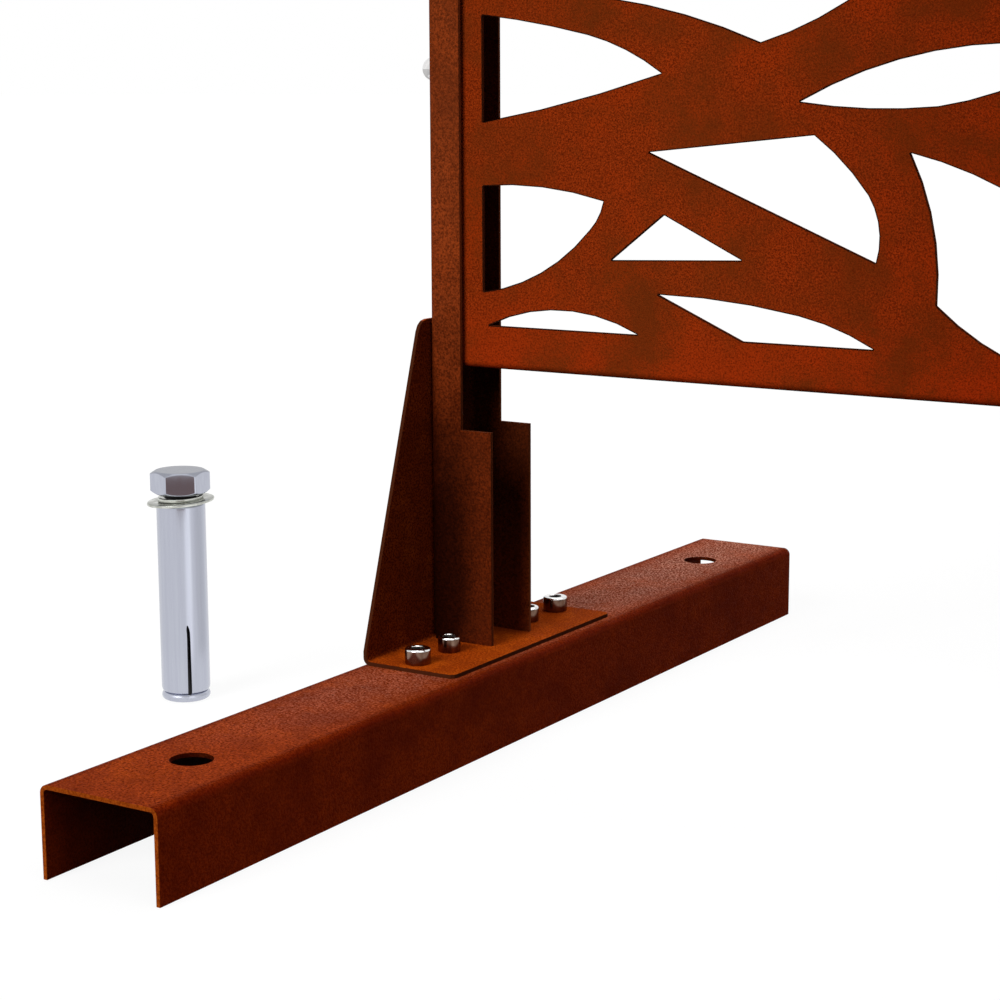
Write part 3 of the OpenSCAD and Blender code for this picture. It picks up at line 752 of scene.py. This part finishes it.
def makeDarkCutLine(values):
    sheet = nodes[values["node"]]
    source = bmesh.new()
    source.from_mesh(sheet.data)
    bmesh.ops.transform(source, matrix=sheet.matrix_world, verts=source.verts)
    bmesh.ops.scale(source, vec=(1000, 1000, 1000), verts=source.verts)
    bmesh.ops.remove_doubles(source, verts=source.verts, dist=0.001)
    source.normal_update()
    form = bmesh.new()
    for edge in source.edges:
        for plane, look in values["planes"]:
            off = max(abs(vert.co.y - plane) for vert in edge.verts)
            if len(edge.link_faces) != 2 or off > values["near"]:
                continue
            front = [face for face in edge.link_faces if face.normal.y * look > 0.999]
            wall = [face for face in edge.link_faces if abs(face.normal.y) < 0.1]
            if len(front) != 1 or len(wall) != 1:
                continue
            a, b = (vert.co.copy() for vert in edge.verts)
            away = -wall[0].normal * values["width"]
            proud = Vector((0, values["proud"] * look, 0))
            form.faces.new([form.verts.new(point + proud) for point in (a, b, b + away, a + away)])
    source.free()
    material, tree, shader = shaderMaterial("darkCutLine")
    place = newNode(tree, "ShaderNodeTexCoord")
    grain = useGroup(tree, rustGrain, values["grain"])
    link(tree, place.outputs["Object"], grain.inputs["Place"])
    worn = product(tree, grain.outputs["Speckle"], grain.outputs["Patches"])
    link(tree, mixColour(tree, worn, values["dark"], values["worn"]), shader.inputs["Base Color"])
    shader.inputs["Roughness"].default_value = values["rough"]
    shader.inputs["Specular IOR Level"].default_value = values["shine"]
    line = finishMesh(form, "darkCutStrip", [material])
    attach(line, "screen")
    print("burnt line faces:", len(line.data.polygons))


# The anchor's pieces from the floor up, in millimetres and degrees, round its own axis. Points of an outline
# are how far in from the piece's radius and how far from its lower or upper end.
groundAnchor = {
    "place": (-470.65, -47), "shank": 16, "turn": 10.5, "leanTo": 220,
    "foot": {"radius": 13.1, "height": 4.5, "round": 2.0, "cone": (11.0, 9.0, 18.0), "fit": 0.05},
    "sleeve": {"radius": 13.1, "bore": 8.6, "low": 4.5, "height": 103.5, "wall": 1.9, "taper": 19.0,
               "slit": 38.5, "wide": 1.10, "narrow": 0.85, "tip": 2.6, "turn": -40.5, "tipLean": -0.55,
               "leanOver": 5, "columns": 32,
               "lowRim": ((1.5, 0), (0.95, 0.25), (0.5, 0.7), (0.2, 1.4), (0.04, 2.4), (0, 3.4)),
               "slitRows": (8, 14, 20, 26, 31, 34), "tipRows": (3.0, 2.0, 1.2, 0.6, 0.2, 0.0),
               "upperRows": (39.5, 44, 56, 70, 84, 97.5, 101.5),
               "highRim": ((0.0, 1.3), (0.12, 0.8), (0.45, 0.35), (0.95, 0.08), (1.5, 0))},
    "flat": {"radius": 18, "bore": 8.7, "low": 108.25, "thick": 1.5, "lean": 4.0},
    "spring": {"radius": 12.25, "bore": 8.8, "low": 109.75, "thick": 2.0, "lean": 2.2, "gap": 9, "turn": 139.5,
               "edge": 0.3, "rise": 0.5, "endTwist": 4, "stations": 91},
    "head": {"flats": 28, "low": 113.3, "height": 12.5, "crown": 13.2, "slope": 0.577, "bevel": 0.35},
}


def makeAnchorHead(values, materials):
    head, turn, place = values["head"], math.radians(values["turn"]), (*values["place"], 0)
    low, top, crown = head["low"], head["low"] + head["height"], head["crown"]
    shank = values["shank"] / 2

    def side(height, sign):
        # The hexagon's corners fall away from its flat face
        def ring(angle):
            radius = hexRadius(angle, head["flats"], turn)
            return radius, height + sign * max(0.0, radius - crown) * head["slope"]
        return ring

    form = bmesh.new()
    # The shank and the head's underside take the near-black painted shade
    hidden = [(shank - 1.2, 0.4), (shank, 1.6), (shank, low - 0.05), (crown - 0.4, low - 0.02), (crown, low)]
    for face in addRings(form, hidden, place):
        face.material_index = 1
    shown = [(crown, low), side(low, 1), side(top, -1), (crown - 0.05, top - 0.03), (crown - 0.7, top)]
    addRings(form, shown + [(crown * 0.5, top - 0.05), (0.5, top - 0.05)], place)
    bolt = finishMesh(form, "anchorHexBolt", materials, sharp=24, bevel=head["bevel"])
    rideAs(bolt, "anchor_bolt", "anchor")


def makeAnchorFoot(values, materials):
    foot = values["foot"]
    radius, high, edge = foot["radius"], foot["height"], foot["round"]
    mouth, tip, length = foot["cone"]
    bore = values["shank"] / 2 + foot["fit"]
    rings = [(bore, 0), (radius - edge - 1.5, 0)]
    rings += [(radius - edge + edge * math.sin(math.radians(a)), high / 2 * (1 - math.cos(math.radians(a))))
              for a in range(0, 181, 15)]
    rings += [(mouth + 0.1, high), (mouth, high + 0.6), (tip, high + length), (bore, high + length)]
    form = bmesh.new()
    for face in addRings(form, rings, (*values["place"], 0), closed=True):
        # Above the foot the cone, seen through the slits, takes the painted shade
        if face.calc_center_median().z > high:
            face.material_index = 1
    cone = finishMesh(form, "anchorConeNut", materials, sharp=35)
    rideAs(cone, "anchor_cone", "anchor")


def sleeveRow(form, s, place, z, draw):
    # Pairs of outer and inner points round the sleeve, in three thirds that the slits part
    half, shift = 0.0, s["tipLean"]
    if z < s["slit"]:
        half = s["narrow"] + (s["wide"] - s["narrow"]) * (1 - z / s["slit"])
        half *= math.sqrt(min(1.0, (s["slit"] - z) / s["tip"]))
        shift *= max(0.0, (z - s["slit"] + s["leanOver"]) / s["leanOver"])
    bore = s["bore"] + max(0.0, (s["radius"] - s["wall"] - s["bore"]) * (1 - z / s["taper"]))
    row = []
    for sector in range(3):
        start = math.radians(s["turn"] + 120 * sector) + (half + shift) / s["radius"]
        for column in range(s["columns"] + 1):
            angle = start + column / s["columns"] * (math.radians(120) - 2 * half / s["radius"])
            x, y = math.cos(angle), math.sin(angle)
            row.append([form.verts.new((place[0] + away * x, place[1] + away * y, s["low"] + z))
                        for away in (s["radius"] - draw, bore)])
    return row


def makeAnchorSleeve(values, materials):
    s = values["sleeve"]
    heights = [(z, draw) for draw, z in s["lowRim"]] + [(z, 0) for z in s["slitRows"]]
    heights += [(s["slit"] - down, 0) for down in s["tipRows"]] + [(z, 0) for z in s["upperRows"]]
    heights += [(s["height"] - down, draw) for draw, down in s["highRim"]]
    form = bmesh.new()
    rows = [sleeveRow(form, s, values["place"], z, draw) for z, draw in heights]
    columns, span = s["columns"], s["columns"] + 1
    # Inner faces and the slits' walls take the painted shade
    for lower, upper in zip(rows, rows[1:]):
        for first in range(0, 3 * span, span):
            for i in range(first, first + columns):
                form.faces.new((lower[i][0], lower[i + 1][0], upper[i + 1][0], upper[i][0]))
                inner = form.faces.new((upper[i][1], upper[i + 1][1], lower[i + 1][1], lower[i][1]))
                inner.material_index = 1
            for i, across in ((first, first - 1), (first + columns, (first + span) % (3 * span))):
                if (lower[i][0].co - lower[across][0].co).length > 0.01:
                    wall = form.faces.new((lower[i][0], upper[i][0], upper[i][1], lower[i][1]))
                    wall.material_index = 1
    for row in (rows[0], rows[-1]):
        for first in range(0, 3 * span, span):
            for i in range(first, first + columns):
                form.faces.new((row[i][0], row[i][1], row[i + 1][1], row[i + 1][0]))
    sleeve = finishMesh(form, "anchorSlitSleeve", materials, sharp=40)
    rideAs(sleeve, "anchor_sleeve", "anchor")


def makeFlatWasher(values, materials):
    flat = values["flat"]
    radius, thick, bore = flat["radius"], flat["thick"], flat["bore"]
    profile = [(bore, 0.2), (bore + 0.2, 0), (radius - 0.55, 0), (radius - 0.2, 0.12), (radius, 0.5),
               (radius, thick - 0.5), (radius - 0.2, thick - 0.12), (radius - 0.55, thick),
               (bore + 0.3, thick), (bore, thick - 0.3)]
    form = bmesh.new()
    lean = leanOf(flat["lean"], values["leanTo"])
    addRings(form, profile, (*values["place"], flat["low"]), closed=True, lean=lean)
    washer = finishMesh(form, "anchorFlatWasher", materials, sharp=50)
    rideAs(washer, "anchor_flat_washer", "anchor")


def makeSpringWasher(values, materials):
    spring = values["spring"]
    radius, thick, bore, edge = spring["radius"], spring["thick"], spring["bore"], spring["edge"]
    section = [(bore + edge, 0), (radius - edge, 0), (radius - 0.08, 0.1), (radius, edge),
               (radius, thick - edge), (radius - 0.08, thick - 0.1), (radius - edge, thick),
               (bore + edge, thick), (bore, thick - edge), (bore, edge)]
    slope = leanOf(spring["lean"], values["leanTo"])
    form = bmesh.new()
    stations = []
    last = spring["stations"] - 1
    for i in range(spring["stations"]):
        part = i / last
        angle = math.radians(spring["turn"] + spring["gap"] / 2 + part * (360 - spring["gap"]))
        twist = math.radians(spring["endTwist"]) if i in (0, last) else 0
        station = []
        for away, height in section:
            turned = angle + twist * (0.5 - height / thick)
            x, y = away * math.cos(turned), away * math.sin(turned)
            z = spring["low"] + height + spring["rise"] * (part - 0.5) + slope[0] * x + slope[1] * y
            station.append(form.verts.new((values["place"][0] + x, values["place"][1] + y, z)))
        stations.append(station)
    for first, second in zip(stations, stations[1:]):
        for i in range(len(section)):
            j = (i + 1) % len(section)
            form.faces.new((first[i], second[i], second[j], first[j]))
    form.faces.new(stations[0])
    form.faces.new(stations[-1][::-1])
    washer = finishMesh(form, "anchorSpringWasher", materials, sharp=50)
    rideAs(washer, "anchor_spring_washer", "anchor")


# Glowing white card tent round the anchor, seen only in its shine: it paints the reflections on the zinc, with
# a brighter stripe, a shade band and a dark patch, in metres and degrees of azimuth. A pair of heights is
# where a change starts and where it is full.
reflectionTent = {
    "radius": 0.108, "height": 0.34, "low": 0.001, "sides": 64, "plain": 0.96,
    "upper": {"from": (0.124, 0.134), "strength": 0.62},
    "roof": {"from": (0.336, 0.338), "strength": 1.0},
    "bandsBelow": (0.132, 0.108), "bandCore": 0.35,
    "bands": {
        "stripe": {"azimuth": -24, "half": 20, "strength": 1.35},
        "shade": {"azimuth": 35, "half": 34, "strength": 0.80},
    },
    # The patch glows dark, a painted reflection on the head's front facet
    "patch": {"azimuth": -50, "half": (20, 18), "above": (0.0880, 0.0920), "below": (0.1120, 0.1080),
              "strength": (0.215, 0.148, 0.140)},
}


def makeTent(values, place):
    form = bmesh.new()
    rings = [(values["radius"] * 1000, height * 1000) for height in (values["low"], values["height"])]
    bottom = addRings(form, rings, count=values["sides"])[-2]
    form.faces.remove(bottom)
    material, tree = emptyMaterial("tentGlow")
    out = newNode(tree, "ShaderNodeOutputMaterial")
    glow = newNode(tree, "ShaderNodeEmission", Strength=1)
    clear = newNode(tree, "ShaderNodeBsdfTransparent")
    mix = newNode(tree, "ShaderNodeMixShader")
    surface = newNode(tree, "ShaderNodeNewGeometry")
    spot = newNode(tree, "ShaderNodeTexCoord")
    axes = newNode(tree, "ShaderNodeSeparateXYZ")
    link(tree, spot.outputs["Object"], axes.inputs[0])
    z = axes.outputs["Z"]
    azimuth = math2(tree, "ARCTAN2", axes.outputs["Y"], axes.outputs["X"])
    azimuth = math2(tree, "MULTIPLY", azimuth, 180 / math.pi)

    def away(part):
        return absolute(tree, math2(tree, "SUBTRACT", azimuth, part["azimuth"]))

    upper, roof, patch = values["upper"], values["roof"], values["patch"]
    plain, weak = (values["plain"],) * 3, (upper["strength"],) * 3
    colour = mixColour(tree, ramp(tree, z, upper["from"], True), plain, weak)
    below = ramp(tree, z, values["bandsBelow"], True)
    for part in values["bands"].values():
        band = spread(tree, away(part), part["half"], part["half"] * values["bandCore"], smooth=True)
        colour = mixColour(tree, product(tree, band, below), colour, (part["strength"],) * 3)
    inside = product(tree, ramp(tree, away(patch), patch["half"]), ramp(tree, z, patch["above"]),
                     ramp(tree, z, patch["below"]))
    colour = mixColour(tree, inside, colour, patch["strength"])
    colour = mixColour(tree, ramp(tree, z, roof["from"]), colour, (roof["strength"],) * 3)
    link(tree, colour, glow.inputs["Color"])
    link(tree, surface.outputs["Backfacing"], mix.inputs["Fac"])
    link(tree, clear.outputs[0], mix.inputs[1])
    link(tree, glow.outputs[0], mix.inputs[2])
    link(tree, mix.outputs[0], out.inputs["Surface"])
    tent = finishMesh(form, "reflectionTent", [material])
    tent.location = (place[0] / 1000, place[1] / 1000, 0)
    for ray in ("camera", "diffuse", "transmission", "volume_scatter", "shadow"):
        setattr(tent, "visible_" + ray, False)


makeSocketScrews(socketScrews, [finishes[name] for name in ("brightScrew", "socketShade", "screwSideReflection")])
print("socket screws made")
makeDarkCutLine(darkCutLine)
zinc = [finishes["zincPlate"], finishes["hollowShade"]]
makeAnchorHead(groundAnchor, [finishes["headZinc"], finishes["hollowShade"]])
makeAnchorFoot(groundAnchor, zinc)
makeAnchorSleeve(groundAnchor, zinc)
makeFlatWasher(groundAnchor, [finishes["washerZinc"]])
makeSpringWasher(groundAnchor, [finishes["washerZinc"]])
makeTent(reflectionTent, groundAnchor["place"])
print("ground anchor made")
